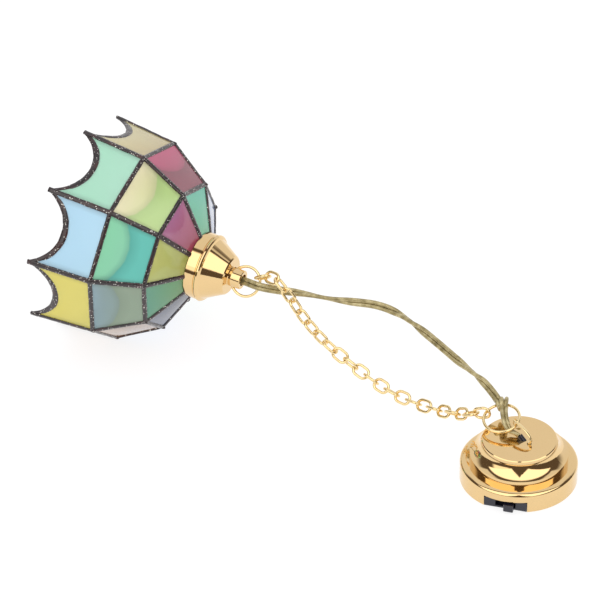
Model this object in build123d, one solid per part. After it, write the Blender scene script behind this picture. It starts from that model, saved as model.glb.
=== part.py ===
from build123d import *
import math
import os

# Battery pendant lamp for a 1:12 dolls' house, lying on a table, in millimetres.
# The origin is the centre of the canopy's mounting face, on the table, with +Z up.
# +X runs along the lamp shade's axis, from its mouth towards the canopy.

# ---- driving dimensions -------------------------------------------------------------

SIDES = 9                      # facets round the shade
STEP = 2 * math.pi / SIDES
HALF = STEP / 2
RIM_R = 19.2                   # radius of the rim's tips, on the glass's outer face
KNEE_R = 18.25                 # radius of the corners between rim tier and middle tier
SHOULDER_R = 13.4              # radius of the corners between middle and crown tier
CROWN_R = 5.4                  # radius of the crown's corners, under the cap
KNEE_A = 11.7                  # distances along the shade's axis from the rim's tips
SHOULDER_A = 19.7
CROWN_A = 23.85
GLASS_T = 0.6
LEAD_W = 0.8                   # width of the leading
LEAD_OUT = 0.2                 # how far the leading stands proud of the glass
LEAD_DEPTH = 0.9
LEAD_GAP = 0.44                # from a facet's edge to its glass
LEAD_END = 0.6                 # how far each strip stops short of a corner
SCALLOP_DEPTH = 4.4            # depth of the concave rim between two tips
SCALLOP_LEAD_W = 1.25
SHADE_X, SHADE_Y = -89.5, 9.5  # place of the rim's centre on the table

CAP_A = 23.62                  # the cap's open end, which sits on the crown's ribs
CAP_R = 5.9
CAP_WALL = 0.5
NECK_A = 29.7                  # where the cap's cone meets its neck
NECK_END_A = 32.2
NECK_R = 1.7
NECK_BORE_R = 1.05
NECK_HOLE_A = 30.2             # cross hole for the lamp's ring
NECK_HOLE_R = 0.53
NECK_HOLE_ROLL = 34            # degrees from the shade's upward direction towards +Y

WIRE = 0.5                     # diameter of the chain's and the rings' wire
LAMP_RING_R = 2.6              # middle radius of the ring in the lamp's neck
BASE_RING_R = 3.06             # middle radius of the ring in the canopy's hook
LINKS = 24
LINK_W = 2.4                   # outside width of a link
LINK_PLAY = 0.06               # free play between two links

DRUM_R = 10.0                  # canopy: lower drum, middle dome and top disc
DRUM_H = 3.8
SHOULDER_IN, SHOULDER_DROP = 1.1, 0.7   # the drum's rounded shoulder
DOME_R = 8.35
DOME_FOOT = 1.4                # height of the dome's upright foot
DOME_BULGE = 0.3               # how far the dome's curve stands out from its chord
DOME_H = 7.2
DISC_R = 6.4
CANOPY_H = 8.0
CANOPY_WALL = 0.6
CANOPY_FOOT = 0.08             # gap under the drum's wall

CELL_R, CELL_T = 6.25, 2.0     # button cell, 12.5 mm across and 2 mm thick

SWITCH_ANGLE = -78.5           # degrees round the canopy from +X
SWITCH_W, SWITCH_H, SWITCH_DEEP = 7.4, 1.95, 2.8
SWITCH_FACE = 9.35             # distance of the switch's front from the canopy's axis
SWITCH_TRAVEL = 1.4
LEVER_W, LEVER_H = 1.7, 1.3

HOOK_WIRE = 0.6
HOOK_FOOT = (2.07, -0.53)      # where the hook goes through the top disc
HOOK_EYE = Vector(-1.0, 0.9, 10.0)
HOOK_EYE_R = 0.8
RING_TILT = 14                 # degrees that the base ring rolls about the pendant's line
PENDANT = Vector(-0.989, 0.146, 0).normalized()

SLEEVE_MOUTH = Vector(-0.05, 0.08, 8.6)   # black sleeve, slanting down into the top disc
SLEEVE_FOOT = Vector(0.9, -0.02, 7.65)
SLEEVE_R = 0.5
TAIL_D = 0.9                   # the twin cord lies edge-on where it goes down to the sleeve
CORD_D = 1.5                   # width of the twin cord
KNOT_TURN = 60                 # degrees round the base ring from the chain's side
KNOT_R, KNOT_TUBE_R = 0.78, 0.45

# route of the chain, from the base ring to the lamp's ring
CHAIN_ROUTE = [
    (-9.1, 1.6, 9.1), (-11.5, 2.1, 7.8), (-16.0, 3.7, 5.7), (-20.5, 4.9, 4.6),
    (-25.0, 5.7, 4.3), (-29.2, 6.5, 4.7), (-33.5, 7.5, 5.6), (-37.6, 7.9, 7.3),
    (-41.3, 8.2, 9.4), (-44.7, 8.6, 12.0), (-47.5, 8.9, 15.1), (-49.0, 8.9, 17.1),
    (-50.9, 9.4, 18.3), (-53.0, 10.0, 17.9),
]

# turn of each link about the chain, in degrees: neighbours stand roughly crosswise
LINK_ROLLS = [
    -90, 12, -50, 40, -50, 40, -50, 40, -50, 40, -50, 48,
    -32, 65, -60, 15, -90, 5, -85, 5, -90, 25, -50, 35,
]

# route of the cord, from the lamp's neck to the knot on the base ring
CORD_ROUTE = [
    (-58.5, 9.5, 15.8), (-57.1, 9.25, 16.0), (-55.6, 8.8, 16.25), (-53.6, 8.55, 16.3),
    (-50.8, 9.7, 15.8), (-47.0, 11.6, 15.2), (-42.4, 12.7, 14.8), (-38.2, 14.0, 14.65),
    (-34.6, 15.3, 14.5), (-30.7, 15.2, 14.3), (-26.0, 13.5, 14.0), (-20.9, 11.2, 13.6),
    (-15.8, 8.8, 13.1), (-11.2, 7.0, 12.5), (-8.4, 5.7, 12.0), (-6.9, 4.9, 11.6),
]

# route of the cord from the knot down to its sleeve in the top disc
TAIL_ROUTE = [
    (-4.4, 2.75, 10.8), (-3.8, 1.75, 10.6), (-3.15, 0.95, 10.1), (-2.5, 0.35, 9.5),
    (-1.9, 0.05, 9.05), (-1.2, 0.0, 8.93), (-0.6, 0.07, 8.86),
    tuple(SLEEVE_MOUTH - (SLEEVE_FOOT - SLEEVE_MOUTH) * 0.07),
]

# ---- places that follow from them -----------------------------------------------------

TILT = math.atan2((RIM_R - KNEE_R) * math.cos(HALF), KNEE_A)
AXIS = Vector(math.cos(TILT), 0, -math.sin(TILT))
UPRIGHT = Vector(math.sin(TILT), 0, math.cos(TILT))
# two ribs of the rim tier lie on the table, so their lowest edges set the axis's height
RIB_REACH = (RIM_R + LEAD_OUT / math.cos(TILT)) * math.cos(HALF) + LEAD_W / 2 * math.sin(HALF)
SHADE_Z = RIB_REACH * math.cos(TILT)
RIM_CENTRE = Vector(SHADE_X, SHADE_Y, SHADE_Z)
SHADE = Plane(origin=RIM_CENTRE, x_dir=UPRIGHT, z_dir=AXIS)
FIRST_RIB = math.pi + HALF      # angle from upright of a rib beside the lowest facet

RING_ACROSS = Vector(-PENDANT.Y, PENDANT.X, 0) * -1
RING_SIDE = RING_ACROSS * math.cos(math.radians(RING_TILT)) + Vector(0, 0, 1) * math.sin(
    math.radians(RING_TILT)
)
BASE_RING_CENTRE = HOOK_EYE + PENDANT * BASE_RING_R

HOLE_ROLL = math.radians(NECK_HOLE_ROLL)
HOLE_DIR = UPRIGHT * math.cos(HOLE_ROLL) + Vector(0, 1, 0) * math.sin(HOLE_ROLL)
NECK_HOLE = RIM_CENTRE + AXIS * NECK_HOLE_A
LAMP_RING_CENTRE = NECK_HOLE + AXIS * LAMP_RING_R
LAMP_RING_NORMAL = AXIS.cross(HOLE_DIR)

WIRE_GAP = (WIRE + LINK_PLAY) / 2      # from a contact to each of its two wires
CHAIN_START = BASE_RING_CENTRE + PENDANT * (BASE_RING_R - WIRE_GAP)
LAMP_CONTACT_TURN = math.radians(32)
CHAIN_END = LAMP_RING_CENTRE + (
    AXIS * math.cos(LAMP_CONTACT_TURN) + HOLE_DIR * math.sin(LAMP_CONTACT_TURN)
) * (LAMP_RING_R - WIRE_GAP)


def chain_joints():
    """The contacts from the base ring to the lamp's ring, evenly spaced along the chain."""
    line = Spline([CHAIN_START, *[Vector(*p) for p in CHAIN_ROUTE], CHAIN_END])
    return [line @ (k / LINKS) for k in range(LINKS + 1)], line.length / LINKS


JOINTS, PITCH = chain_joints()
KNOT_ANGLE = math.radians(KNOT_TURN)
KNOT_OUT = PENDANT * math.cos(KNOT_ANGLE) + RING_SIDE * math.sin(KNOT_ANGLE)
KNOT_ALONG = RING_SIDE * math.cos(KNOT_ANGLE) - PENDANT * math.sin(KNOT_ANGLE)
KNOT_CENTRE = BASE_RING_CENTRE + KNOT_OUT * BASE_RING_R


# ---- helpers --------------------------------------------------------------------------

def turned(profile):
    """A solid of revolution about the local Z axis, from (radius, height) points."""
    with BuildPart() as part:
        with BuildSketch(Plane.XZ):
            with BuildLine():
                Polyline(profile, close=True)
            make_face()
        revolve(axis=Axis.Z)
    return part.part


def torus_at(centre, normal, radius, wire):
    return Plane(origin=centre, z_dir=normal).location * Torus(radius, wire / 2)


def around(solid, count=SIDES):
    """Copies of a solid round the shade's axis, as separate solids of one node."""
    return Compound([solid.rotate(Axis.Z, math.degrees(k * STEP)) for k in range(count)])


def switch_place(distance, height):
    """The switch's plane: local X runs along its slot and local Y into the canopy."""
    angle = math.radians(SWITCH_ANGLE)
    out = Vector(math.cos(angle), math.sin(angle), 0)
    return Plane(origin=out * distance + Vector(0, 0, height), x_dir=(-out.Y, out.X, 0),
                 z_dir=(0, 0, 1))


def facet(low_r, low_a, high_r, high_a):
    """The plane of the facet beside the first rib, its half widths and its height.

    Local X runs round the shade, local Y up the facet, and Z points outwards."""
    turn = FIRST_RIB + HALF
    radial = Vector(math.cos(turn), math.sin(turn), 0)
    low = radial * (low_r * math.cos(HALF)) + Vector(0, 0, low_a)
    high = radial * (high_r * math.cos(HALF)) + Vector(0, 0, high_a)
    up = (high - low).normalized()
    round_ = Vector(0, 0, 1).cross(radial)
    plane = Plane(origin=low, x_dir=round_, z_dir=round_.cross(up))
    return plane, low_r * math.sin(HALF), high_r * math.sin(HALF), (high - low).length


# ---- shade ----------------------------------------------------------------------------

def trapezium(low_half, high_half, height, inset):
    """A facet's outline moved in from its edges."""
    lean = math.hypot(height, low_half - high_half) / height * inset
    slope = (low_half - high_half) / height
    low = low_half - slope * inset - lean
    high = high_half + slope * inset - lean
    return [(-low, inset), (low, inset), (high, height - inset), (-high, height - inset)]


def scallop_circle(low_half):
    """Radius and centre height of the arc through two rim tips."""
    radius = (low_half**2 + SCALLOP_DEPTH**2) / (2 * SCALLOP_DEPTH)
    return radius, SCALLOP_DEPTH - radius


def make_panes(low_r, low_a, high_r, high_a, scalloped=False):
    """The glass of one tier, one flat pane with bevelled edges in each facet."""
    plane, low_half, high_half, height = facet(low_r, low_a, high_r, high_a)
    bevel = math.degrees(HALF)
    with BuildPart() as pane:
        with BuildSketch(plane):
            Polygon(*trapezium(low_half, high_half, height, LEAD_GAP), align=None)
            if scalloped:
                radius, centre = scallop_circle(low_half)
                with Locations((0, centre)):
                    Circle(radius + SCALLOP_LEAD_W + 0.02, mode=Mode.SUBTRACT)
        extrude(amount=-GLASS_T, taper=bevel)
    biggest = max(pane.part.solids(), key=lambda s: s.volume)
    return SHADE.location * around(biggest)


def make_ribs(low_r, low_a, high_r, high_a, low_end=1.3 * LEAD_END, high_end=LEAD_END):
    """The leading strips that run up the shade between two facets of one tier."""
    out = Vector(math.cos(FIRST_RIB), math.sin(FIRST_RIB), 0)
    low = out * low_r + Vector(0, 0, low_a)
    high = out * high_r + Vector(0, 0, high_a)
    along = (high - low).normalized()
    side = Vector(0, 0, 1).cross(out)
    start, end = low + along * low_end, high - along * high_end
    plane = Plane(origin=(start + end) * 0.5, x_dir=along, z_dir=along.cross(side) * -1)
    strip = Pos(0, 0, LEAD_OUT - LEAD_DEPTH / 2) * Box((end - start).length, LEAD_W, LEAD_DEPTH)
    return SHADE.location * around(plane.location * strip)


def make_bands(radius, height, below, above):
    """The leading strips round the shade between two tiers."""
    lower = facet(*below, radius, height)[0]
    upper = facet(radius, height, *above)[0]
    plane = Plane(origin=upper.origin, x_dir=upper.x_dir, z_dir=lower.z_dir + upper.z_dir)
    length = 2 * radius * math.sin(HALF) - 2 * LEAD_END
    strip = Pos(0, 0, LEAD_OUT * 0.8 - LEAD_DEPTH / 2) * Box(length, LEAD_W, LEAD_DEPTH)
    return SHADE.location * around(plane.location * strip)


def make_scallops():
    """The thick leading along the concave rim, one arc between each two tips."""
    plane, low_half, high_half, height = facet(RIM_R, 0, KNEE_R, KNEE_A)
    radius, centre = scallop_circle(low_half)
    with BuildPart() as arc:
        with BuildSketch(plane.offset(LEAD_OUT / 2)):
            Polygon(*trapezium(low_half, high_half, height, LEAD_GAP * 1.1), align=None)
            with Locations((0, centre)):
                Circle(radius + SCALLOP_LEAD_W, mode=Mode.INTERSECT)
                Circle(radius, mode=Mode.SUBTRACT)
        extrude(amount=-LEAD_DEPTH, taper=math.degrees(HALF))
    biggest = max(arc.part.solids(), key=lambda s: s.volume)
    return SHADE.location * around(biggest)


RIM_TIER = (RIM_R, 0, KNEE_R, KNEE_A)
MIDDLE_TIER = (KNEE_R, KNEE_A, SHOULDER_R, SHOULDER_A)
CROWN_TIER = (SHOULDER_R, SHOULDER_A, CROWN_R, CROWN_A)


# ---- lamp cap and light ----------------------------------------------------------------

def make_cap():
    """Turned bell cap: collar, ridge, cone and neck, bored through for the cord."""
    w = CAP_WALL
    seat = w * (CROWN_A - SHOULDER_A) / (SHOULDER_R - CROWN_R)
    outer = [
        (CAP_R, CAP_A), (CAP_R, CAP_A + 1.7), (CAP_R - 0.12, CAP_A + 1.8),
        (CAP_R - 0.12, CAP_A + 1.9), (CAP_R + 0.06, CAP_A + 2.0), (CAP_R + 0.12, CAP_A + 2.15),
        (CAP_R + 0.08, CAP_A + 2.35), (CAP_R - 0.1, CAP_A + 2.55), (CAP_R - 0.5, CAP_A + 2.7),
        (3.5, NECK_A), (3.25, NECK_A + 0.2), (NECK_R + 0.12, NECK_A + 0.22),
        (NECK_R, NECK_A + 0.34), (NECK_R, NECK_END_A - 0.1), (NECK_R - 0.1, NECK_END_A),
    ]
    inner = [
        (NECK_BORE_R, NECK_END_A), (NECK_BORE_R, NECK_A - 0.35), (2.9, NECK_A - 0.4),
        (CAP_R - 0.5 - w, CAP_A + 2.5), (CAP_R - w, CAP_A + 1.9), (CAP_R - w, CAP_A + seat),
    ]
    shell = turned(outer + inner)
    wall_r = (NECK_R + NECK_BORE_R) / 2
    ring_bow = LAMP_RING_R - math.sqrt(LAMP_RING_R**2 - wall_r**2)
    hole = Plane(origin=(0, 0, NECK_HOLE_A + ring_bow),
                 z_dir=(math.cos(HOLE_ROLL), -math.sin(HOLE_ROLL), 0)).location
    shell = shell - hole * Cylinder(NECK_HOLE_R, 4 * NECK_R)
    return SHADE.location * shell


def make_holder():
    """White bush that carries the light inside the cap, with a flange under the glass."""
    flange = CROWN_A - 1.3
    return SHADE.location * turned([
        (1.2, flange - 2.2), (2.2, flange - 2.2), (2.2, flange - 0.5), (4.4, flange - 0.5),
        (4.4, flange), (2.3, flange), (2.3, CAP_A + 2.4), (1.2, CAP_A + 2.4),
    ])


def make_washer():
    """Thin brass washer on the bush, inside the cap."""
    low = CAP_A + 0.5
    return SHADE.location * turned([(2.36, low), (4.9, low), (4.9, low + 0.3), (2.36, low + 0.3)])


def make_lens():
    """Clear light-emitting diode: domed lens with a flange that seats under the bush."""
    seat = CROWN_A - 3.52
    with BuildPart() as lens:
        with BuildSketch(Plane.XZ):
            with BuildLine():
                Line((0, seat), (1.75, seat))
                Line((1.75, seat), (1.75, seat - 0.7))
                Line((1.75, seat - 0.7), (1.5, seat - 0.7))
                Line((1.5, seat - 0.7), (1.5, seat - 2.2))
                RadiusArc((1.5, seat - 2.2), (0, seat - 3.7), 1.5)
                Line((0, seat - 3.7), (0, seat))
            make_face()
        revolve(axis=Axis.Z)
    return SHADE.location * lens.part


def make_leads():
    """The diode's two legs, inside the bush."""
    leg = Cylinder(0.22, 4.6, align=(Align.CENTER, Align.CENTER, Align.MIN))
    low = CROWN_A - 3.48
    return SHADE.location * Compound([Pos(0, y, low) * leg for y in (-0.64, 0.64)])


# ---- rings, chain and cord --------------------------------------------------------------

def make_link():
    """One oval link about its own middle: long side on X, flat in XY."""
    bow_r = (LINK_W - WIRE) / 2
    reach = PITCH / 2 + WIRE_GAP
    straight = 2 * (reach - bow_r)
    side = Rot(0, 90, 0) * Cylinder(WIRE / 2, straight)
    bow = Torus(bow_r, WIRE / 2) & Pos(bow_r, 0, 0) * Box(2 * bow_r, 4 * bow_r, WIRE * 2)
    return (
        Pos(0, bow_r, 0) * side + Pos(0, -bow_r, 0) * side
        + Pos(straight / 2, 0, 0) * bow + Pos(-straight / 2, 0, 0) * Rot(0, 0, 180) * bow
    )


def link_planes():
    """Each link's own plane: X along the chain, Z square to the link."""
    planes = []
    for k in range(LINKS):
        start, end = JOINTS[k], JOINTS[k + 1]
        along = (end - start).normalized()
        upward = (Vector(0, 0, 1) - along * along.Z).normalized()
        level = along.cross(upward)
        roll = math.radians(LINK_ROLLS[k])
        normal = upward * math.cos(roll) + level * math.sin(roll)
        planes.append(Plane(origin=(start + end) * 0.5, x_dir=along, z_dir=normal))
    return planes


def tube(route, diameter=CORD_D):
    """A cord's tube: straight runs joined by tangent arcs as large as the runs allow."""
    points = [Vector(*p) for p in route]
    radii = []
    for a, b, c in zip(points, points[1:], points[2:]):
        turn = math.radians((b - a).get_angle(c - b))
        radii.append(0.45 * min((b - a).length, (c - b).length) / math.tan(turn / 2))
    path = FilletPolyline(*points, radius=radii)
    start = Plane(origin=points[0], z_dir=points[1] - points[0])
    solid = sweep(start * Circle(diameter / 2), path=path)
    share = solid.volume / (math.pi * diameter**2 / 4 * path.length)
    print("tube", round(path.length, 2), "mm, volume share", round(share, 3),
          "radii", [round(r, 1) for r in radii])
    return solid


def make_hook():
    """Wire hook: a shank through the top disc that bends over into an eye."""
    foot = Vector(*HOOK_FOOT, 0)
    toward = (Vector(HOOK_EYE.X, HOOK_EYE.Y, 0) - foot).normalized()
    reach = (Vector(HOOK_EYE.X, HOOK_EYE.Y, 0) - foot).length
    plane = Plane(origin=foot, x_dir=toward, z_dir=toward.cross(Vector(0, 0, 1)))
    top = HOOK_EYE.Z + HOOK_EYE_R

    def eye_point(degrees):
        turn = math.radians(degrees)
        return (reach + HOOK_EYE_R * math.cos(turn), HOOK_EYE.Z + HOOK_EYE_R * math.sin(turn))

    with BuildPart() as hook:
        with BuildLine(plane) as line:
            shank = Line((0, CANOPY_H - 1.3), (0, CANOPY_H + 0.3))
            over = Spline([shank @ 1, (reach * 0.38, top - 0.55), (reach, top)],
                          tangents=[(0, 1), (1, 0)])
            ThreePointArc(eye_point(90), eye_point(0), eye_point(-90))
            ThreePointArc(eye_point(-90), eye_point(-115), eye_point(-140))
        with BuildSketch(Plane(origin=line.line @ 0, z_dir=(0, 0, 1))):
            Circle(HOOK_WIRE / 2)
        sweep(path=line.line)
    return hook.part


# ---- canopy -----------------------------------------------------------------------------

def sleeve_rod(radius, extra=0.0):
    """A rod along the sleeve's slanting axis, longer than it by extra at the foot."""
    run = SLEEVE_FOOT - SLEEVE_MOUTH
    return Plane(origin=SLEEVE_MOUTH, z_dir=run).location * Cylinder(
        radius, run.length + extra, align=(Align.CENTER, Align.CENTER, Align.MIN))


def make_canopy():
    """Stepped gold shell: drum, domed middle and top disc, with the switch's notch."""
    w = CANOPY_WALL
    disc_base = DOME_H + 0.05
    shoulder = DRUM_H - SHOULDER_DROP
    dome_foot = DRUM_H + DOME_FOOT
    with BuildPart() as shell:
        with BuildSketch(Plane.XZ):
            with BuildLine():
                Polyline((DRUM_R - w, CANOPY_FOOT), (DRUM_R, CANOPY_FOOT), (DRUM_R, shoulder))
                EllipticalCenterArc((DRUM_R - SHOULDER_IN, shoulder), SHOULDER_IN,
                                    SHOULDER_DROP, start_angle=0, arc_size=90)
                Polyline((DRUM_R - SHOULDER_IN, DRUM_H), (DOME_R, DRUM_H), (DOME_R, dome_foot))
                SagittaArc((DOME_R, dome_foot), (DISC_R + 0.15, DOME_H), DOME_BULGE)
                Polyline((DISC_R + 0.15, DOME_H), (DISC_R, disc_base), (DISC_R, CANOPY_H - 0.12),
                         (DISC_R - 0.12, CANOPY_H), (0, CANOPY_H), (0, CANOPY_H - w),
                         (DISC_R - w, CANOPY_H - w), (DISC_R - w, DOME_H - w),
                         (DOME_R - w - 0.2, DRUM_H + 1.7), (DOME_R - w - 0.2, DRUM_H - w),
                         (DRUM_R - w - 0.5, DRUM_H - w), (DRUM_R - w, shoulder - 0.2),
                         (DRUM_R - w, CANOPY_FOOT))
            make_face()
        revolve(axis=Axis.Z)
    notch = switch_place(DRUM_R, CANOPY_FOOT + SWITCH_H / 2).location
    hook_hole = Pos(*HOOK_FOOT, CANOPY_H) * Cylinder(HOOK_WIRE / 2 + 0.1, 3)
    cut = notch * Box(SWITCH_W + 0.1, 3.4, SWITCH_H + 0.1)
    return shell.part - cut - hook_hole - sleeve_rod(SLEEVE_R + 0.02, 0.5)


def switch_gap():
    """The room that the switch needs in the plate and the pad."""
    middle = SWITCH_FACE - SWITCH_DEEP / 2 + 0.5
    return switch_place(middle, 1.5).location * Box(SWITCH_W + 0.7, SWITCH_DEEP + 1.4, 4)


def make_plate():
    """Mounting plate that plugs into the drum, with a gap in its lip for the switch."""
    lip_r = DRUM_R - CANOPY_WALL - 0.05
    plate = turned([(0, 0.4), (lip_r, 0.4), (lip_r, 1.9), (lip_r - 0.6, 1.9),
                    (lip_r - 0.6, 1.0), (0, 1.0)])
    return plate - switch_gap()


def make_tray():
    """Plastic cup that holds the cell up inside the canopy's dome."""
    r = CELL_R + 0.1
    crown = DOME_H - 0.65
    return turned([(r, 2.75), (r + 0.75, 2.75), (r + 0.75, DRUM_H + 1.4), (r - 0.8, crown),
                   (0, crown), (0, crown - 0.6), (r - 1.45, crown - 0.6), (r, DRUM_H + 1.6)])


def make_cell():
    """Button cell with its crimped step."""
    return turned([(0, 2.95), (CELL_R - 0.9, 2.95), (CELL_R - 0.7, 3.2), (CELL_R, 3.25),
                   (CELL_R, 2.95 + CELL_T - 0.1), (CELL_R - 0.1, 2.95 + CELL_T),
                   (0, 2.95 + CELL_T)])


def make_top_contact():
    """Round contact plate between the cell and the tray."""
    low = 2.95 + CELL_T + 0.03
    return turned([(0, low), (3.2, low), (3.4, low + 0.3), (4.8, low + 0.3), (4.8, low + 0.5),
                   (3.3, low + 0.5), (3.1, low + 0.2), (0, low + 0.2)])


def make_bottom_contact():
    """Bent spring strip under the cell."""
    with BuildPart() as strip:
        with BuildSketch(Plane.XZ):
            with BuildLine():
                Polyline((-5.2, 2.35), (-3.6, 2.35), (-1.2, 2.72), (1.2, 2.72), (3.6, 2.35),
                         (5.2, 2.35), (5.2, 2.15), (3.55, 2.15), (1.15, 2.52), (-1.15, 2.52),
                         (-3.55, 2.15), (-5.2, 2.15), close=True)
            make_face()
        extrude(amount=1.1, both=True)
    return strip.part


def make_switch_housing():
    """Dark body of the slide switch, with a slot for its lever."""
    middle = SWITCH_FACE - SWITCH_DEEP / 2
    low = CANOPY_FOOT
    body = switch_place(middle, low + SWITCH_H / 2).location * Box(
        SWITCH_W, SWITCH_DEEP, SWITCH_H - 0.2)
    slot = switch_place(SWITCH_FACE - 0.5, low + SWITCH_H / 2).location * Box(
        SWITCH_TRAVEL + LEVER_W + 0.4, 1.2, LEVER_H * 0.6 + 0.3)
    return body - slot


def make_switch_frame():
    """Steel clip folded over the switch's ends."""
    middle = SWITCH_FACE - SWITCH_DEEP / 2 - 0.15
    low = CANOPY_FOOT + SWITCH_H / 2
    clip = Box(SWITCH_W + 0.36, 1.2, 0.16)
    end = Box(0.16, 1.2, SWITCH_H - 0.2)
    place = switch_place(middle, low).location
    top = (SWITCH_H - 0.2) / 2 + 0.1
    side = SWITCH_W / 2 + 0.1
    return place * (Pos(0, 0, top) * clip + Pos(side, 0, 0.04) * end + Pos(-side, 0, 0.04) * end)


def make_lever():
    """Thumb lever of the switch, at one end of its slot."""
    offset = SWITCH_TRAVEL / 2
    height = CANOPY_FOOT + SWITCH_H / 2
    place = switch_place(SWITCH_FACE + 0.62, height).location
    knob = Pos(offset, 0, 0) * Box(LEVER_W, 1.1, LEVER_H)
    knob = fillet(knob.edges().filter_by(Axis.Z), 0.2)
    stem = Pos(offset, 0.9, 0) * Box(LEVER_W * 0.7, 0.9, LEVER_H * 0.6)
    return place * (knob + stem)


NODES = {
    "adhesive_pad": turned([(0, 0), (8.2, 0), (8.2, 0.4), (0, 0.4)]) - switch_gap(),
    "mounting_plate": make_plate(),
    "canopy_shell": make_canopy(),
    "battery_tray": make_tray(),
    "battery_cell": make_cell(),
    "contact_top": make_top_contact(),
    "contact_spring": make_bottom_contact(),
    "switch_housing": make_switch_housing(),
    "switch_clip": make_switch_frame(),
    "switch_lever": make_lever(),
    "canopy_hook": make_hook(),
    "cord_sleeve": sleeve_rod(SLEEVE_R),
    "base_ring": torus_at(BASE_RING_CENTRE, PENDANT.cross(RING_SIDE), BASE_RING_R, WIRE),
    "cord_knot": Plane(origin=KNOT_CENTRE, z_dir=KNOT_ALONG).location
    * Torus(KNOT_R, KNOT_TUBE_R),
    "cord_tail": tube(TAIL_ROUTE, TAIL_D),
    "cord_upper": tube(CORD_ROUTE),
    "lamp_ring": torus_at(LAMP_RING_CENTRE, LAMP_RING_NORMAL, LAMP_RING_R, WIRE),
    "cap_shell": make_cap(),
    "lamp_holder": make_holder(),
    "holder_washer": make_washer(),
    "led_lens": make_lens(),
    "led_leads": make_leads(),
    "panes_rim": make_panes(*RIM_TIER, scalloped=True),
    "panes_middle": make_panes(*MIDDLE_TIER),
    "panes_crown": make_panes(*CROWN_TIER),
    "ribs_rim": make_ribs(*RIM_TIER, low_end=0.1),
    "ribs_middle": make_ribs(*MIDDLE_TIER),
    "ribs_crown": make_ribs(*CROWN_TIER, high_end=0.95),
    "bands_knee": make_bands(KNEE_R, KNEE_A, (RIM_R, 0), (SHOULDER_R, SHOULDER_A)),
    "bands_shoulder": make_bands(SHOULDER_R, SHOULDER_A, (KNEE_R, KNEE_A), (CROWN_R, CROWN_A)),
    "rim_scallops": make_scallops(),
}
LINK = make_link()
for number, plane in enumerate(link_planes(), start=1):
    NODES[f"link_{number:02d}"] = plane.location * LINK

os.makedirs("parts", exist_ok=True)
for name, solid in NODES.items():
    export_step(solid, f"parts/{name}.step")
print("chain pitch", round(PITCH, 3), "nodes", len(NODES))
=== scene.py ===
"""A miniature pendant lamp on a white table: stained-glass style shade, chain, cord and canopy."""

import math

import bmesh
import bpy
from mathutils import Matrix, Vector, noise


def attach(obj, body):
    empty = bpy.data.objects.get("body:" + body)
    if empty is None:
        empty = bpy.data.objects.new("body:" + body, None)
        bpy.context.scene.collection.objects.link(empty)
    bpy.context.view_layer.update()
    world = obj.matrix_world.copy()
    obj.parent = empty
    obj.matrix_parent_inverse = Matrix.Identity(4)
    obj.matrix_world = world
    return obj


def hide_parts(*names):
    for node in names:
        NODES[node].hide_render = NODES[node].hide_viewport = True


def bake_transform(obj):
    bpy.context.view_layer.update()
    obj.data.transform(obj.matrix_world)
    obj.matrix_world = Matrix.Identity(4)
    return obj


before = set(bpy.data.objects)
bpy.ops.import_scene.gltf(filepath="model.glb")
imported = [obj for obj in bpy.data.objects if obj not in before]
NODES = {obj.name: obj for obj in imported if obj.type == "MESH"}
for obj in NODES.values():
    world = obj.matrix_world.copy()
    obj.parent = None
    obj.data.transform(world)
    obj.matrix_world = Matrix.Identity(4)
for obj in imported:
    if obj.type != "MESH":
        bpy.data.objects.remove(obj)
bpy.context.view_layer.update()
MM = 0.001


def mm(*point):
    """A point given in millimetres, as a vector in metres."""
    return Vector(point) * MM


# ---- camera ---------------------------------------------------------------------------

CAMERA_PLACE = (0.30953, -0.69001, 0.59235)
SIGHT = Vector((-0.36532, 0.71809, -0.59235))
HALF_VIEW_SLOPE = 0.0529583        # half the picture's width over its distance

camera_data = bpy.data.cameras.new("camera")
camera = bpy.data.objects.new("camera", camera_data)
bpy.context.scene.collection.objects.link(camera)
camera.location = CAMERA_PLACE
camera.rotation_euler = SIGHT.to_track_quat("-Z", "Y").to_euler()
camera_data.sensor_fit = "HORIZONTAL"
camera_data.angle = 2 * math.atan(HALF_VIEW_SLOPE)
camera_data.clip_start = 0.05
camera_data.clip_end = 20
bpy.context.scene.camera = camera


# ---- mesh helpers ---------------------------------------------------------------------

def new_object(name, mesh, material=None, smooth=True):
    """An object in the scene from a mesh, with one material."""
    piece = bpy.data.objects.new(name, mesh)
    bpy.context.scene.collection.objects.link(piece)
    if smooth:
        mesh.polygons.foreach_set("use_smooth", [True] * len(mesh.polygons))
    if material is not None:
        mesh.materials.append(material)
    return piece


def mesh_from(name, points, faces):
    """A mesh from points and faces that are lists of their numbers."""
    mesh = bpy.data.meshes.new(name)
    mesh.from_pydata([tuple(p) for p in points], [], faces)
    mesh.update()
    return mesh


def frames_along(points, normal=None):
    """Tangent, normal and side at each point of a line, turning as little as possible."""
    tangents = []
    for i, p in enumerate(points):
        before = points[max(i - 1, 0)]
        after = points[min(i + 1, len(points) - 1)]
        tangents.append((after - before).normalized())
    normal = normal or tangents[0].orthogonal()
    frames = []
    for i, t in enumerate(tangents):
        if i:
            normal = tangents[i - 1].rotation_difference(t) @ normal
        normal = (normal - t * normal.dot(t)).normalized()
        frames.append((t, normal.copy(), t.cross(normal)))
    return frames


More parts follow.
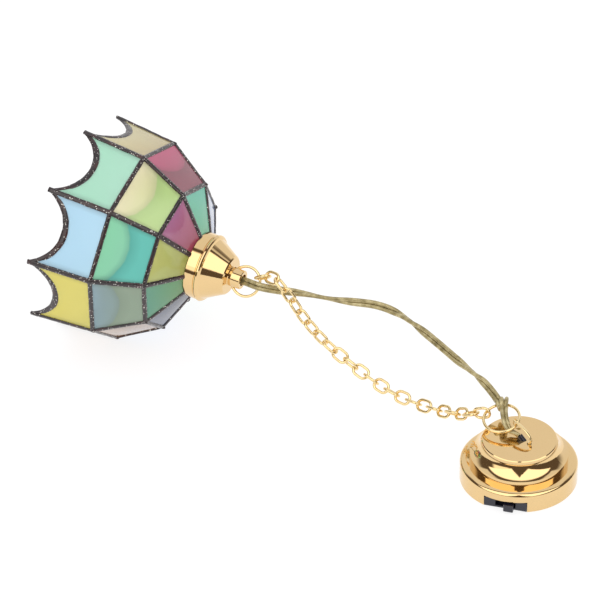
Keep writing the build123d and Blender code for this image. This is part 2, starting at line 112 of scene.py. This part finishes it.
def swept(points, section, radii, frames=None, closed=False):
    """Points and faces of a tube whose section is scaled by (across, up) at each point."""
    frames = frames or frames_along(points)
    verts, faces = [], []
    count = len(section)
    for i, (p, (t, n, s)) in enumerate(zip(points, frames)):
        across, up = radii[i]
        for a, b in section:
            verts.append(p + s * (a * across) + n * (b * up))
    rings = len(points)
    for i in range(rings if closed else rings - 1):
        low, high = i * count, ((i + 1) % rings) * count
        for j in range(count):
            k = (j + 1) % count
            faces.append((low + j, low + k, high + k, high + j))
    if not closed:
        faces.append(tuple(reversed(range(count))))
        faces.append(tuple(range((rings - 1) * count, rings * count)))
    return verts, faces


def circle(count):
    """A round section of radius 1."""
    return [(math.cos(2 * math.pi * k / count), math.sin(2 * math.pi * k / count))
            for k in range(count)]


def joined(parts):
    """One list of points and faces from several."""
    verts, faces = [], []
    for v, f in parts:
        faces += [tuple(i + len(verts) for i in face) for face in f]
        verts += v
    return verts, faces


# ---- cord routes ----------------------------------------------------------------------

CORD_ROUTE = [
    (-58.5, 9.5, 15.8), (-57.1, 9.25, 16.0), (-55.6, 8.8, 16.25), (-53.6, 8.55, 16.3),
    (-50.8, 9.7, 15.8), (-47.0, 11.6, 15.2), (-42.4, 12.7, 14.8), (-38.2, 14.0, 14.65),
    (-34.6, 15.3, 14.5), (-30.7, 15.2, 14.3), (-26.0, 13.5, 14.0), (-20.9, 11.2, 13.6),
    (-15.8, 8.8, 13.1), (-11.2, 7.0, 12.5), (-8.4, 5.7, 12.0), (-6.05, 4.15, 11.25),
]
TAIL_ROUTE = [
    (-4.5, 3.46, 10.8), (-4.2, 2.6, 10.85), (-3.75, 1.75, 10.65), (-3.15, 0.95, 10.1),
    (-2.5, 0.35, 9.5), (-1.9, 0.05, 9.05), (-1.2, 0.0, 8.93), (-0.6, 0.07, 8.86),
    (-0.12, 0.09, 8.67),
]


def spline_points(route):
    """Points of the smooth line that a route's points control."""
    data = bpy.data.curves.new("route", "CURVE")
    data.dimensions = "3D"
    data.resolution_u = 12
    spline = data.splines.new("NURBS")
    spline.points.add(len(route) - 1)
    for point, place in zip(spline.points, route):
        point.co = (*mm(*place), 1)
    spline.order_u = 3
    spline.use_endpoint_u = True
    line = bpy.data.objects.new("route", data)
    bpy.context.scene.collection.objects.link(line)
    bpy.context.view_layer.update()
    mesh = bpy.data.meshes.new_from_object(line)
    points = [v.co.copy() for v in mesh.vertices]
    bpy.data.meshes.remove(mesh)
    bpy.data.objects.remove(line)
    bpy.data.curves.remove(data)
    return points


# ---- materials ------------------------------------------------------------------------

def tone(r, g, b):
    """A linear colour from 0 to 255 display values."""
    def linear(c):
        c /= 255
        return c / 12.92 if c <= 0.04045 else ((c + 0.055) / 1.055) ** 2.4
    return (linear(r), linear(g), linear(b), 1.0)


def darker(colour, share):
    """A colour at a share of its strength."""
    return (*(c * share for c in colour[:3]), 1)


class Nodes:
    """Short calls to build a material's node tree."""

    def __init__(self, name):
        self.material = bpy.data.materials.new(name)
        self.material.use_nodes = True
        self.tree = self.material.node_tree
        self.shader = self.tree.nodes["Principled BSDF"]
        self.coords = None

    def add(self, kind, **settings):
        node = self.tree.nodes.new(kind)
        for key, value in settings.items():
            setattr(node, key, value)
        return node

    def link(self, source, target):
        self.tree.links.new(source, target)

    def value(self, target, source):
        """Sets a socket to a plain value, or links it to another socket."""
        if isinstance(source, (int, float, tuple)):
            target.default_value = source
        else:
            self.link(source, target)

    def math(self, operation, a, b=0.0, clamp=False):
        node = self.add("ShaderNodeMath", operation=operation, use_clamp=clamp)
        self.value(node.inputs[0], a)
        self.value(node.inputs[1], b)
        return node.outputs[0]

    def mix(self, factor, a, b, blend="MIX"):
        node = self.add("ShaderNodeMix", data_type="RGBA", blend_type=blend)
        self.value(node.inputs["Factor"], factor)
        self.value(node.inputs[6], a)
        self.value(node.inputs[7], b)
        return node.outputs[2]

    def position(self):
        """The surface point in metres, in the shared frame at rest."""
        if self.coords is None:
            self.coords = self.add("ShaderNodeTexCoord")
        return self.coords.outputs["Object"]

    def noise(self, scale, detail=2.0, rough=0.5, vector=None):
        node = self.add("ShaderNodeTexNoise")
        self.link(vector or self.position(), node.inputs["Vector"])
        node.inputs["Scale"].default_value = scale
        node.inputs["Detail"].default_value = detail
        node.inputs["Roughness"].default_value = rough
        return node.outputs["Fac"]

    def ramp(self, source, stops):
        """Colours or plain levels that change along source, from (place, value) pairs."""
        node = self.add("ShaderNodeValToRGB")
        ramp = node.color_ramp
        while len(ramp.elements) < len(stops):
            ramp.elements.new(0.5)
        for element, (place, colour) in zip(ramp.elements, stops):
            element.position = place
            element.color = colour if isinstance(colour, tuple) else (colour,) * 3 + (1,)
        self.link(source, node.inputs["Fac"])
        return node.outputs["Color"]

    def bump(self, height, strength, distance):
        """Fine relief on the shader's normal."""
        node = self.add("ShaderNodeBump")
        node.inputs["Strength"].default_value = strength
        node.inputs["Distance"].default_value = distance
        self.link(height, node.inputs["Height"])
        self.link(node.outputs["Normal"], self.shader.inputs["Normal"])

    def set(self, **inputs):
        """Sets or links the shader's own sockets."""
        for key, value in inputs.items():
            self.value(self.shader.inputs[key.replace("_", " ")], value)


def gold(name, colour, roughness, wave):
    """Polished gold plate with faint ripples and finger haze."""
    n = Nodes(name)
    haze = n.noise(260, 3)
    n.set(Metallic=1.0)
    n.set(Base_Color=n.mix(haze, colour, darker(colour, 0.93)),
          Roughness=n.ramp(n.noise(700, 2), [(0.35, roughness), (0.7, roughness * 1.7)]))
    n.bump(n.noise(220, 1.5), wave, 0.00004)
    return n.material


GOLD = gold("gold_plate", tone(238, 205, 150), 0.05, 0.1)
GOLD_WIRE = gold("gold_wire", tone(250, 224, 168), 0.15, 0.08)


def leading_material():
    """Dark glossy leading with a maroon sheen and silver glitter."""
    n = Nodes("leading")
    blotch = n.noise(420, 3)
    base = n.ramp(blotch, [(0.3, tone(28, 22, 26)), (0.55, tone(44, 30, 34)),
                           (0.75, tone(74, 42, 40))])
    speck = n.add("ShaderNodeTexVoronoi")
    n.link(n.position(), speck.inputs["Vector"])
    speck.inputs["Scale"].default_value = 4600
    rare = n.math("GREATER_THAN", speck.outputs["Color"], 0.76)
    near = n.math("LESS_THAN", speck.outputs["Distance"], 0.4)
    glint = n.math("MULTIPLY", rare, near)
    n.set(Base_Color=n.mix(glint, base, tone(225, 222, 215)),
          Metallic=n.math("MULTIPLY", glint, 0.9),
          Roughness=n.ramp(n.noise(900, 2), [(0.35, 0.2), (0.7, 0.42)]),
          Coat_Weight=0.4, Coat_Roughness=0.15)
    n.bump(n.noise(1500, 3), 0.45, 0.00006)
    return n.material


LEADING = leading_material()


def glass(name, low, high, crescent=None):
    """Painted translucent glass. A pane's UV map runs across it and from rim to crown.

    low and high are its colours towards the rim and the crown. crescent is the colour
    past a curved edge part-way up the pane, and how dark that edge is. Both are painted: a painted
    shadow of the far rim's scallops, and the panes behind as seen through the glass."""
    n = Nodes(name)
    uv = n.add("ShaderNodeUVMap", uv_map="pane")
    split = n.add("ShaderNodeSeparateXYZ")
    n.link(uv.outputs["UV"], split.inputs[0])
    u, v = split.outputs[0], split.outputs[1]
    cloud = n.noise(170, 2)
    height = n.math("ADD", v, n.math("MULTIPLY", n.math("SUBTRACT", cloud, 0.5), 0.5))
    colour = n.mix(n.math("MULTIPLY", height, 1.0, clamp=True), low, high)
    if crescent:
        over, edge_shadow = crescent
        du = n.math("SUBTRACT", u, 0.46)
        dv = n.math("MULTIPLY", n.math("ADD", v, 0.22), 0.92)
        reach = n.math("SQRT", n.math("ADD", n.math("MULTIPLY", du, du),
                                      n.math("MULTIPLY", dv, dv)))
        ripple = n.math("MULTIPLY", n.math("SUBTRACT", n.noise(500, 2), 0.5), 0.05)
        reach = n.math("ADD", reach, ripple)
        # past the curve: painted colour of the panes behind, seen through the glass; along it: a
        # painted shadow of the far rim's scallops
        past = n.ramp(reach, [(0.68, 0.0), (0.71, 1.0)])
        edge = n.ramp(reach, [(0.58, 0.0), (0.7, edge_shadow), (0.76, edge_shadow * 0.6), (0.9, 0.0)])
        colour = n.mix(past, colour, over)
        colour = n.mix(edge, colour, darker(over, 0.45))
    side = n.math("MULTIPLY", n.math("ABSOLUTE", n.math("SUBTRACT", u, 0.5)), 2.0)
    rim = n.ramp(side, [(0.8, 0.0), (1.0, 0.5)])
    n.set(Base_Color=n.mix(rim, colour, darker(high, 0.4)), Roughness=0.13,
          Transmission_Weight=0.3, IOR=1.45, Coat_Weight=0.5, Coat_Roughness=0.04)
    n.bump(n.noise(240, 2), 0.12, 0.0002)
    return n.material


# ---- shade ----------------------------------------------------------------------------

SIDES = 9
HALF = math.pi / SIDES
RIM_R, KNEE_R, SHOULDER_R, CROWN_R = 19.2, 18.25, 13.4, 5.4
KNEE_A, SHOULDER_A, CROWN_A = 11.7, 19.7, 23.85
SCALLOP_DEPTH = 4.4
PANE_GAP, PANE_THICK, PANE_SWELL = 0.2, 0.55, 0.16
PANE_COLUMNS, PANE_ROWS = 18, 14
ARCH_SHARE, ARCH_ROOM = 0.97, 0.5  # a rim pane's arched foot, inside the leading's arch
RIB_WIDTH, RIB_RISE = 0.9, 0.2
BAND_WIDTH, BAND_RISE = 0.8, 0.22
ARCH_WIDTH, ARCH_RISE = 1.4, 0.3
BLOB_R, BLOB_RISE = 0.5, 0.24
TILT = math.atan2((RIM_R - KNEE_R) * math.cos(HALF), KNEE_A)
AXIS = Vector((math.cos(TILT), 0, -math.sin(TILT)))
UPRIGHT = Vector((math.sin(TILT), 0, math.cos(TILT)))
RIB_REACH = (RIM_R + 0.2 / math.cos(TILT)) * math.cos(HALF) + 0.4 * math.sin(HALF)
RIM_CENTRE = Vector((-89.5, 9.5, RIB_REACH * math.cos(TILT)))
ACROSS = AXIS.cross(UPRIGHT)
TIERS = {
    "rim": ((RIM_R, 0.0), (KNEE_R, KNEE_A)),
    "middle": ((KNEE_R, KNEE_A), (SHOULDER_R, SHOULDER_A)),
    "crown": ((SHOULDER_R, SHOULDER_A), (CROWN_R, CROWN_A)),
}


def rib_angle(k):
    """Angle of rib k from upright towards the camera's side."""
    return math.radians(160 + 40 * (k - 6))


def on_shade(radius, along, angle):
    """A point in millimetres at a radius and angle about the shade's axis."""
    out = UPRIGHT * math.cos(angle) + ACROSS * math.sin(angle)
    return RIM_CENTRE + AXIS * along + out * radius


def facet_corners(tier, k):
    """A facet's left and right corners at its foot, then at its head."""
    (low_r, low_a), (high_r, high_a) = TIERS[tier]
    left, right = rib_angle(k), rib_angle(k + 1)
    return (on_shade(low_r, low_a, left), on_shade(low_r, low_a, right),
            on_shade(high_r, high_a, left), on_shade(high_r, high_a, right))


def facet_axes(tier, k):
    """A facet's middle foot, its directions round, up and out, its half widths, height."""
    low_l, low_r, high_l, high_r = facet_corners(tier, k)
    low, high = (low_l + low_r) / 2, (high_l + high_r) / 2
    up = (high - low).normalized()
    round_ = (low_r - low_l).normalized()
    out = round_.cross(up)
    if out.dot(low - RIM_CENTRE - AXIS * (low - RIM_CENTRE).dot(AXIS)) < 0:
        out = -out
    return low, round_, up, out, (low_r - low_l).length / 2, (high_r - high_l).length / 2, \
        (high - low).length


def arc_height(x, half, extra=0.0):
    """Height of the scalloped edge above the line between two rim tips."""
    radius = (half**2 + SCALLOP_DEPTH**2) / (2 * SCALLOP_DEPTH)
    reach = radius + extra
    return SCALLOP_DEPTH - radius + math.sqrt(max(reach**2 - x * x, 0))


def make_pane(tier, k, material):
    """One pane: a thin slab that swells a little between its leading."""
    low, round_, up, out, low_half, high_half, height = facet_axes(tier, k)
    across, rise = PANE_COLUMNS, PANE_ROWS
    verts, uvs = [], []
    for depth in (0, 1):
        for j in range(rise + 1):
            for i in range(across + 1):
                s, t = i / across, j / rise
                x_unit = 2 * s - 1
                if tier == "rim":
                    arch = arc_height(x_unit * low_half * ARCH_SHARE, low_half, ARCH_ROOM)
                    foot = min(max(arch, PANE_GAP), SCALLOP_DEPTH + ARCH_ROOM)
                else:
                    foot = PANE_GAP
                y = foot + (height - PANE_GAP - foot) * t
                half = low_half + (high_half - low_half) * y / height - PANE_GAP
                half -= depth * PANE_THICK * math.tan(HALF)
                swell = PANE_SWELL * (1 - x_unit**2) * (1 - (2 * t - 1) ** 2)
                level = swell - depth * PANE_THICK
                point = low + round_ * (x_unit * half) + up * y + out * level
                verts.append(point * MM)
                uvs.append((s, y / height))
    row, layer = across + 1, (across + 1) * (rise + 1)
    faces = []
    for j in range(rise):
        for i in range(across):
            a = j * row + i
            faces.append((a, a + 1, a + 1 + row, a + row))
            b = a + layer
            faces.append((b, b + row, b + 1 + row, b + 1))
    edge = list(range(across + 1))
    edge += [(j + 1) * row - 1 for j in range(1, rise + 1)]
    edge += [rise * row + i for i in range(across - 1, -1, -1)]
    edge += [j * row for j in range(rise - 1, 0, -1)]
    for a, b in zip(edge, edge[1:] + edge[:1]):
        faces.append((a, a + layer, b + layer, b))
    mesh = mesh_from(f"pane_{tier}_{k + 1}", verts, faces)
    layer_uv = mesh.uv_layers.new(name="pane")
    for loop in mesh.loops:
        layer_uv.data[loop.index].uv = uvs[loop.vertex_index]
    piece = new_object(f"pane_{tier}_{k + 1}", mesh, material)
    tidy = bmesh.new()
    tidy.from_mesh(mesh)
    bmesh.ops.recalc_face_normals(tidy, faces=tidy.faces)
    for e in tidy.edges:
        if len(e.link_faces) == 2 and e.calc_face_angle() > math.radians(40):
            e.smooth = False
    tidy.to_mesh(mesh)
    tidy.free()
    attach(piece, "lamp")
    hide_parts(f"panes_{tier}")
    return piece


# each pane's colour towards the rim and towards the crown, round the shade
PANE_COLOURS = {
    "rim": [
        ((196, 190, 226), (176, 178, 220)), ((228, 220, 162), (216, 196, 142)),
        ((186, 244, 214), (194, 244, 220)), ((188, 230, 255), (192, 234, 255)),
        ((234, 220, 92), (236, 224, 112)), ((206, 158, 96), (190, 134, 84)),
        ((150, 214, 200), (120, 200, 186)), ((214, 130, 160), (200, 96, 130)),
        ((176, 214, 250), (150, 190, 240)),
    ],
    "middle": [
        ((196, 218, 130), (170, 200, 110)), ((214, 84, 128), (158, 92, 104)),
        ((250, 242, 200), (226, 234, 164)), ((160, 236, 194), (160, 226, 196)),
        ((146, 174, 184), (150, 168, 140)), ((170, 124, 72), (150, 104, 62)),
        ((150, 190, 232), (130, 160, 214)), ((160, 222, 184), (120, 206, 170)),
        ((228, 214, 110), (214, 190, 90)),
    ],
    "crown": [
        ((166, 182, 214), (160, 176, 214)), ((104, 206, 180), (130, 204, 160)),
        ((196, 130, 170), (176, 74, 92)), ((206, 214, 130), (186, 186, 100)),
        ((100, 170, 142), (120, 166, 98)), ((88, 100, 126), (104, 110, 122)),
        ((206, 110, 140), (176, 80, 110)), ((214, 208, 120), (190, 180, 90)),
        ((120, 206, 190), (100, 190, 150)),
    ],
}
# what the middle panes' curved edge changes to, and how dark the edge is: painted see-through
# colour of the panes behind, and a painted shadow of the far rim's scallops
CRESCENTS = {
    2: ((210, 238, 158), 0.22), 3: ((126, 226, 212), 0.4), 4: ((156, 176, 152), 0.25),
    0: ((180, 214, 120), 0.3), 6: ((120, 160, 220), 0.3), 7: ((96, 206, 190), 0.4),
    8: ((206, 190, 90), 0.3), 1: ((160, 84, 100), 0.2), 5: ((150, 104, 66), 0.3),
}
for tier, colours in PANE_COLOURS.items():
    for k, (low_colour, high_colour) in enumerate(colours):
        bend = None
        if tier == "middle":
            over, edge_shadow = CRESCENTS[k]
            bend = (tone(*over), edge_shadow)
        make_pane(tier, k, glass(f"glass_{tier}_{k + 1}", tone(*low_colour),
                                 tone(*high_colour), bend))


def bead(points, out, width, rise, depth, seed, taper=None):
    """A strip of leading: a rounded bead along points, proud of the glass by rise."""
    section = []
    for q in range(16):
        turn = 2 * math.pi * q / 16
        c, s = math.cos(turn), math.sin(turn)
        section.append((c, s if s > 0 else s * depth / rise))
    frames = []
    for i, p in enumerate(points):
        a = points[max(i - 1, 0)]
        b = points[min(i + 1, len(points) - 1)]
        t = (b - a).normalized()
        n = (out - t * out.dot(t)).normalized()
        frames.append((t, n, t.cross(n)))
    radii = []
    for i, p in enumerate(points):
        wobble = 1 + 0.13 * noise.noise(p * 0.9 + Vector((seed, 0, 0)))
        lift = 1 + 0.3 * noise.noise(p * 0.6 + Vector((0, seed, 5)))
        share = 1 if taper is None else taper(i / (len(points) - 1))
        radii.append((width / 2 * wobble * share * MM, rise * lift * max(share, 0.6) * MM))
    return swept([p * MM for p in points], section, radii, frames)


def blob(centre, out, radius, rise):
    """A flattened drop of solder where strips meet."""
    verts, faces = [], []
    t = out.orthogonal().normalized()
    s = out.cross(t)
    rings, count = 6, 14
    for i in range(1, rings):
        lift = math.cos(math.pi * i / rings)
        wide = math.sin(math.pi * i / rings)
        for j in range(count):
            turn = 2 * math.pi * j / count
            p = centre + (t * math.cos(turn) + s * math.sin(turn)) * (wide * radius)
            verts.append((p + out * lift * rise) * MM)
    top, foot = len(verts), len(verts) + 1
    verts += [(centre + out * rise) * MM, (centre - out * rise) * MM]
    for i in range(rings - 2):
        for j in range(count):
            k = (j + 1) % count
            a = i * count
            faces.append((a + j, a + count + j, a + count + k, a + k))
    last = (rings - 2) * count
    for j in range(count):
        k = (j + 1) % count
        faces.append((top, j, k))
        faces.append((foot, last + k, last + j))
    return verts, faces


def straight(a, b, count=26):
    """Evenly spaced points from a to b."""
    return [a.lerp(b, i / (count - 1)) for i in range(count)]


def outward(p):
    """The direction from the shade's axis to a point."""
    offset = p - RIM_CENTRE
    return (offset - AXIS * offset.dot(AXIS)).normalized()


def lead_piece(name, parts, *nodes):
    """One piece of leading on the lamp, in place of the CAD's nodes."""
    verts, faces = joined(parts)
    piece = new_object(name, mesh_from(name, verts, faces), LEADING)
    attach(piece, "lamp")
    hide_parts(*nodes)
    return piece


for tier, ((low_r, low_a), (high_r, high_a)) in TIERS.items():
    strips = []
    for k in range(SIDES):
        turn = rib_angle(k)
        foot, head = on_shade(low_r, low_a, turn), on_shade(high_r, high_a, turn)
        along = (head - foot).normalized()
        out = outward(foot)
        out = (out - along * out.dot(along)).normalized()
        line = straight(foot, head)
        strips.append(bead(line, out, RIB_WIDTH, RIB_RISE, 0.5, 3.1 * k + low_a))
    lead_piece(f"leading_ribs_{tier}", strips, f"ribs_{tier}")

for name, radius, along, lower, upper in (
        ("knee", KNEE_R, KNEE_A, "rim", "middle"),
        ("shoulder", SHOULDER_R, SHOULDER_A, "middle", "crown")):
    strips = []
    for k in range(SIDES):
        left, right = rib_angle(k), rib_angle(k + 1)
        out = (facet_axes(lower, k)[3] + facet_axes(upper, k)[3]).normalized()
        line = straight(on_shade(radius, along, left), on_shade(radius, along, right))
        strips.append(bead(line, out, BAND_WIDTH, BAND_RISE, 0.5, 7.7 * k + along))
        corner = on_shade(radius, along, left)
        strips.append(blob(corner, outward(corner), BLOB_R, BLOB_RISE))
    lead_piece(f"leading_band_{name}", strips, f"bands_{name}")



def arch_fullness(share):
    """How full an arch's leading is at a share of its length: thin at its two tips."""
    return 1 - abs(2 * share - 1) ** 3


ARCH_STEPS = 40
strips = []
for k in range(SIDES):
    low, round_, up, out, low_half, _, _ = facet_axes("rim", k)
    line = []
    for i in range(ARCH_STEPS + 1):
        share = i / ARCH_STEPS
        x = (2 * share - 1) * low_half
        y = arc_height(x, low_half) + 0.15 + 0.5 * arch_fullness(share)
        line.append(low + round_ * x + up * y - out * 0.15)
    strips.append(bead(line, out, ARCH_WIDTH, ARCH_RISE, 0.45, 11.3 * k,
                       lambda share: 0.45 + 0.55 * arch_fullness(share)))
lead_piece("leading_scallops", strips, "rim_scallops")


# ---- gold parts and plain inner parts ---------------------------------------------------

def plain(name, colour, roughness, metallic=0.0, grain=900, coat=0.0):
    """A moulded or pressed surface with a fine grain."""
    n = Nodes(name)
    uneven = n.ramp(n.noise(grain * 1.7, 2), [(0.3, roughness * 0.8), (0.7, roughness * 1.3)])
    n.set(Base_Color=n.mix(n.noise(grain, 3), colour, darker(colour, 0.8)), Roughness=uneven,
          Metallic=metallic, Coat_Weight=coat)
    n.bump(n.noise(grain * 2, 2), 0.2, 0.00003)
    return n.material


BLACK = plain("black_moulding", tone(30, 29, 44), 0.28, coat=0.3)
STEEL = plain("bright_steel", tone(206, 204, 208), 0.2, metallic=1.0)
CREAM = plain("cream_moulding", tone(228, 222, 205), 0.35)
FOAM = plain("foam", tone(232, 230, 224), 0.9, grain=2600)
LENS = plain("lens", tone(246, 240, 210), 0.15, coat=0.5)


def dress(material, *names):
    """Gives the CAD's own nodes a material."""
    for name in names:
        for slot in NODES[name].material_slots:
            slot.material = material


dress(GOLD, "canopy_shell", "mounting_plate", "cap_shell")
dress(GOLD_WIRE, "canopy_hook", "base_ring", "lamp_ring",
      *[name for name in NODES if name.startswith("link_")])
dress(BLACK, "switch_housing", "switch_lever", "cord_sleeve", "battery_tray")
dress(STEEL, "switch_clip", "battery_cell", "contact_top", "contact_spring",
      "holder_washer", "led_leads")
dress(CREAM, "lamp_holder")
dress(FOAM, "adhesive_pad")
dress(LENS, "led_lens")


# ---- cord -----------------------------------------------------------------------------

def cord_material():
    """Olive insulation over copper strands, with a metallic shimmer along the wire."""
    n = Nodes("cord")
    base = n.ramp(n.noise(900, 3), [(0.3, tone(138, 124, 80)), (0.5, tone(176, 160, 112)),
                                    (0.72, tone(206, 192, 146))])
    n.set(Base_Color=base, Metallic=0.35, Roughness=0.34, Coat_Weight=0.4,
          Coat_Roughness=0.12)
    n.bump(n.noise(1400, 2), 0.3, 0.00005)
    return n.material


CORD = cord_material()
STRAND_FACETS = 14


def twin(points, radius, spread, turn_at, start_normal, name):
    """Two strands side by side along points; turn_at gives their roll at each share."""
    frames = frames_along(points, start_normal)
    section = circle(STRAND_FACETS)
    parts = []
    for side in (-1, 1):
        line = []
        for i, (p, (t, n, s)) in enumerate(zip(points, frames)):
            roll = math.radians(turn_at(i / (len(points) - 1)))
            line.append(p + (s * math.cos(roll) + n * math.sin(roll)) * (side * spread))
        parts.append(swept(line, section, [(radius, radius)] * len(line)))
    verts, faces = joined(parts)
    return new_object(name, mesh_from(name, verts, faces), CORD)


TO_CAMERA = -SIGHT.normalized()


def along_table(share_points):
    """A smooth interpolation through (share, degrees) pairs."""
    def at(share):
        for (a, x), (b, y) in zip(share_points, share_points[1:]):
            if share <= b:
                f = (share - a) / (b - a)
                return x + (y - x) * f * f * (3 - 2 * f)
        return share_points[-1][1]
    return at


PENDANT = Vector((-0.989, 0.146, 0)).normalized()
RING_ACROSS = Vector((PENDANT.y, -PENDANT.x, 0))
RING_LEAN = math.radians(14)
RING_SIDE = RING_ACROSS * math.cos(RING_LEAN) + Vector((0, 0, 1)) * math.sin(RING_LEAN)
HOOK_EYE = Vector((-1.0, 0.9, 10.0))
RING_R = 3.06                      # the base ring, to the middle of its wire
BASE_RING_CENTRE = HOOK_EYE + PENDANT * RING_R
RING_NORMAL = PENDANT.cross(RING_SIDE)


def round_ring(degrees):
    """Outward and onward directions at a place round the base ring."""
    turn = math.radians(degrees)
    out = PENDANT * math.cos(turn) + RING_SIDE * math.sin(turn)
    return out, RING_SIDE * math.cos(turn) - PENDANT * math.sin(turn)


KNOT_FROM, KNOT_TO = 48, 70        # degrees round the base ring
UPPER_ROLLS = [(0, 0), (0.24, 0), (0.38, 90), (0.5, 180), (0.57, 180), (0.65, 270),
               (0.72, 360), (0.8, 360), (0.87, 450), (0.94, 540)]
TAIL_ROLLS = [(0, 0), (0.35, 20), (1, 75)]

upper_line = spline_points(CORD_ROUTE)
_, normal, side = frames_along(upper_line, TO_CAMERA)[-1]
onward = round_ring(KNOT_FROM)[1]
last_roll = math.degrees(math.atan2(onward.dot(normal), onward.dot(side))) % 180
knot_roll = UPPER_ROLLS[-1][1] + min(last_roll, last_roll - 180, key=abs)
cord_upper = twin(upper_line, 0.37 * MM, 0.36 * MM, along_table(UPPER_ROLLS + [(1, knot_roll)]),
                  TO_CAMERA, "cord_upper_strands")
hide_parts("cord_upper")

tail_line = spline_points(TAIL_ROUTE)
first = (tail_line[1] - tail_line[0]).normalized()
cord_tail = twin(tail_line, 0.34 * MM, 0.33 * MM, along_table(TAIL_ROLLS),
                 round_ring(KNOT_TO)[1].cross(first), "cord_tail_strands")
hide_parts("cord_tail")


def knot_line(lead, count=90):
    """The cord's turns round the ring's wire, loose on the outside."""
    line = []
    for i in range(count):
        share = i / (count - 1)
        out = round_ring(KNOT_FROM + (KNOT_TO - KNOT_FROM) * share + lead)[0]
        roll = math.radians(-45 - 475 * share)
        loose = 0.8 + 0.35 * math.sin(math.pi * share) * max(0, math.cos(roll + 0.9))
        centre = BASE_RING_CENTRE + out * RING_R
        line.append((centre + out * (loose * math.cos(roll))
                     + RING_NORMAL * (loose * math.sin(roll))) * MM)
    return line


knot_parts = []
for lead in (-6.6, 6.6):
    line = knot_line(lead)
    knot_parts.append(swept(line, circle(STRAND_FACETS), [(0.36 * MM, 0.36 * MM)] * len(line)))
verts, faces = joined(knot_parts)
knot = new_object("cord_knot_turns", mesh_from("cord_knot_turns", verts, faces), CORD)
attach(knot, "base_ring")
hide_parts("cord_knot")

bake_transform(cord_upper)
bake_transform(cord_tail)


# ---- table, light and backdrop ----------------------------------------------------------

TABLE_HALF = 1.5
table_corners = [(-TABLE_HALF, -TABLE_HALF, 0), (TABLE_HALF, -TABLE_HALF, 0),
                 (TABLE_HALF, TABLE_HALF, 0), (-TABLE_HALF, TABLE_HALF, 0)]
floor_mesh = mesh_from("table", table_corners, [(0, 1, 2, 3)])
floor_nodes = Nodes("table_white")
floor_nodes.set(Base_Color=(0.25, 0.245, 0.25, 1), Roughness=0.9, Emission_Color=(1, 1, 1, 1),
                Emission_Strength=0.83, Specular_IOR_Level=0.0)
floor = new_object("table", floor_mesh, floor_nodes.material, smooth=False)

world = bpy.data.worlds.new("studio")
bpy.context.scene.world = world
world.use_nodes = True
tree = world.node_tree


def world_node(kind, *inputs, **settings):
    """A node of the world, with its first inputs set to values or linked to sockets."""
    node = tree.nodes.new(kind)
    for key, value in settings.items():
        setattr(node, key, value)
    for socket, value in zip(node.inputs, inputs):
        if isinstance(value, bpy.types.NodeSocket):
            tree.links.new(value, socket)
        elif value is not None:
            socket.default_value = value
    return node


def world_math(operation, *inputs):
    """A sum of the world's node tree."""
    return world_node("ShaderNodeMath", *inputs, operation=operation).outputs[0]


def between(value, low, high, soft):
    """1 where value lies from low to high, fading over soft at each end."""
    rise = world_node("ShaderNodeMapRange", value, low - soft, low + soft, 0.0, 1.0,
                      interpolation_type="SMOOTHSTEP").outputs[0]
    fall = world_node("ShaderNodeMapRange", value, high - soft, high + soft, 1.0, 0.0,
                      interpolation_type="SMOOTHSTEP").outputs[0]
    return world_math("MULTIPLY", rise, fall)


# directions in the studio: ahead is towards the photographer, aside to the right of them
direction = tree.nodes.new("ShaderNodeTexCoord").outputs["Generated"]
split = world_node("ShaderNodeSeparateXYZ", direction)
x, y, z = split.outputs
AHEAD_X, AHEAD_Y = 0.4534, -0.8913
ahead = world_math("ADD", world_math("MULTIPLY", x, AHEAD_X), world_math("MULTIPLY", y, AHEAD_Y))
aside = world_math("ADD", world_math("MULTIPLY", x, -AHEAD_Y), world_math("MULTIPLY", y, AHEAD_X))
azimuth = world_math("ARCTAN2", aside, ahead)
height = world_math("ARCSINE", z)
lift = world_math("MAXIMUM", z, 0.05)
ceiling_ahead = world_math("DIVIDE", ahead, lift)
ceiling_aside = world_math("DIVIDE", aside, lift)

room = tree.nodes.new("ShaderNodeRGB")
room.outputs[0].default_value = (0.9, 0.9, 0.92, 1)
studio = room.outputs[0]


def world_mix(mask, under, over):
    """under where mask is 0 and over where it is 1."""
    node = tree.nodes.new("ShaderNodeMix")
    node.data_type = "RGBA"
    tree.links.new(mask, node.inputs["Factor"])
    for socket, value in ((node.inputs[6], under), (node.inputs[7], over)):
        if isinstance(value, tuple):
            socket.default_value = (*value, 1)
        else:
            tree.links.new(value, socket)
    return node.outputs[2]


def panel(shade, *masks):
    """Lays one panel of the studio over what is already there, where every mask is 1."""
    mask = masks[0]
    for other in masks[1:]:
        mask = world_math("MULTIPLY", mask, other)
    return world_mix(mask, studio, shade)


DIM = (0.115, 0.088, 0.07)
# the dim room round the photographer and the dark edge of the ceiling
studio = panel(DIM, between(azimuth, -2.1, 2.1, 0.2), between(height, -0.25, 0.8, 0.05))
studio = panel(DIM, between(ceiling_ahead, -0.1, 1.6, 0.04), between(height, 0.6, 2.0, 0.05))
# a window low on the left and the ceiling's softbox
studio = panel((1.45, 1.4, 1.3), between(azimuth, -1.25, -0.5, 0.1),
               between(height, 0.2, 0.6, 0.05))
studio = panel((1.75, 1.72, 1.66), between(ceiling_ahead, 0.1, 4.0, 0.06),
               between(ceiling_aside, -1.6, 1.6, 0.12))
# the photographer's own outline: the higher, the narrower
outline = world_math("ADD", world_math("ABSOLUTE", azimuth), world_math("MULTIPLY", height, 0.4))
studio = panel(DIM, between(outline, -1.0, 0.47, 0.03))

# only what is polished mirrors the studio; everything else is lit evenly
mirrored = tree.nodes.new("ShaderNodeLightPath").outputs["Is Glossy Ray"]
EVEN = (1, 1, 1)
tree.links.new(world_mix(mirrored, EVEN, studio), tree.nodes["Background"].inputs["Color"])

bpy.context.scene.view_settings.view_transform = "Standard"
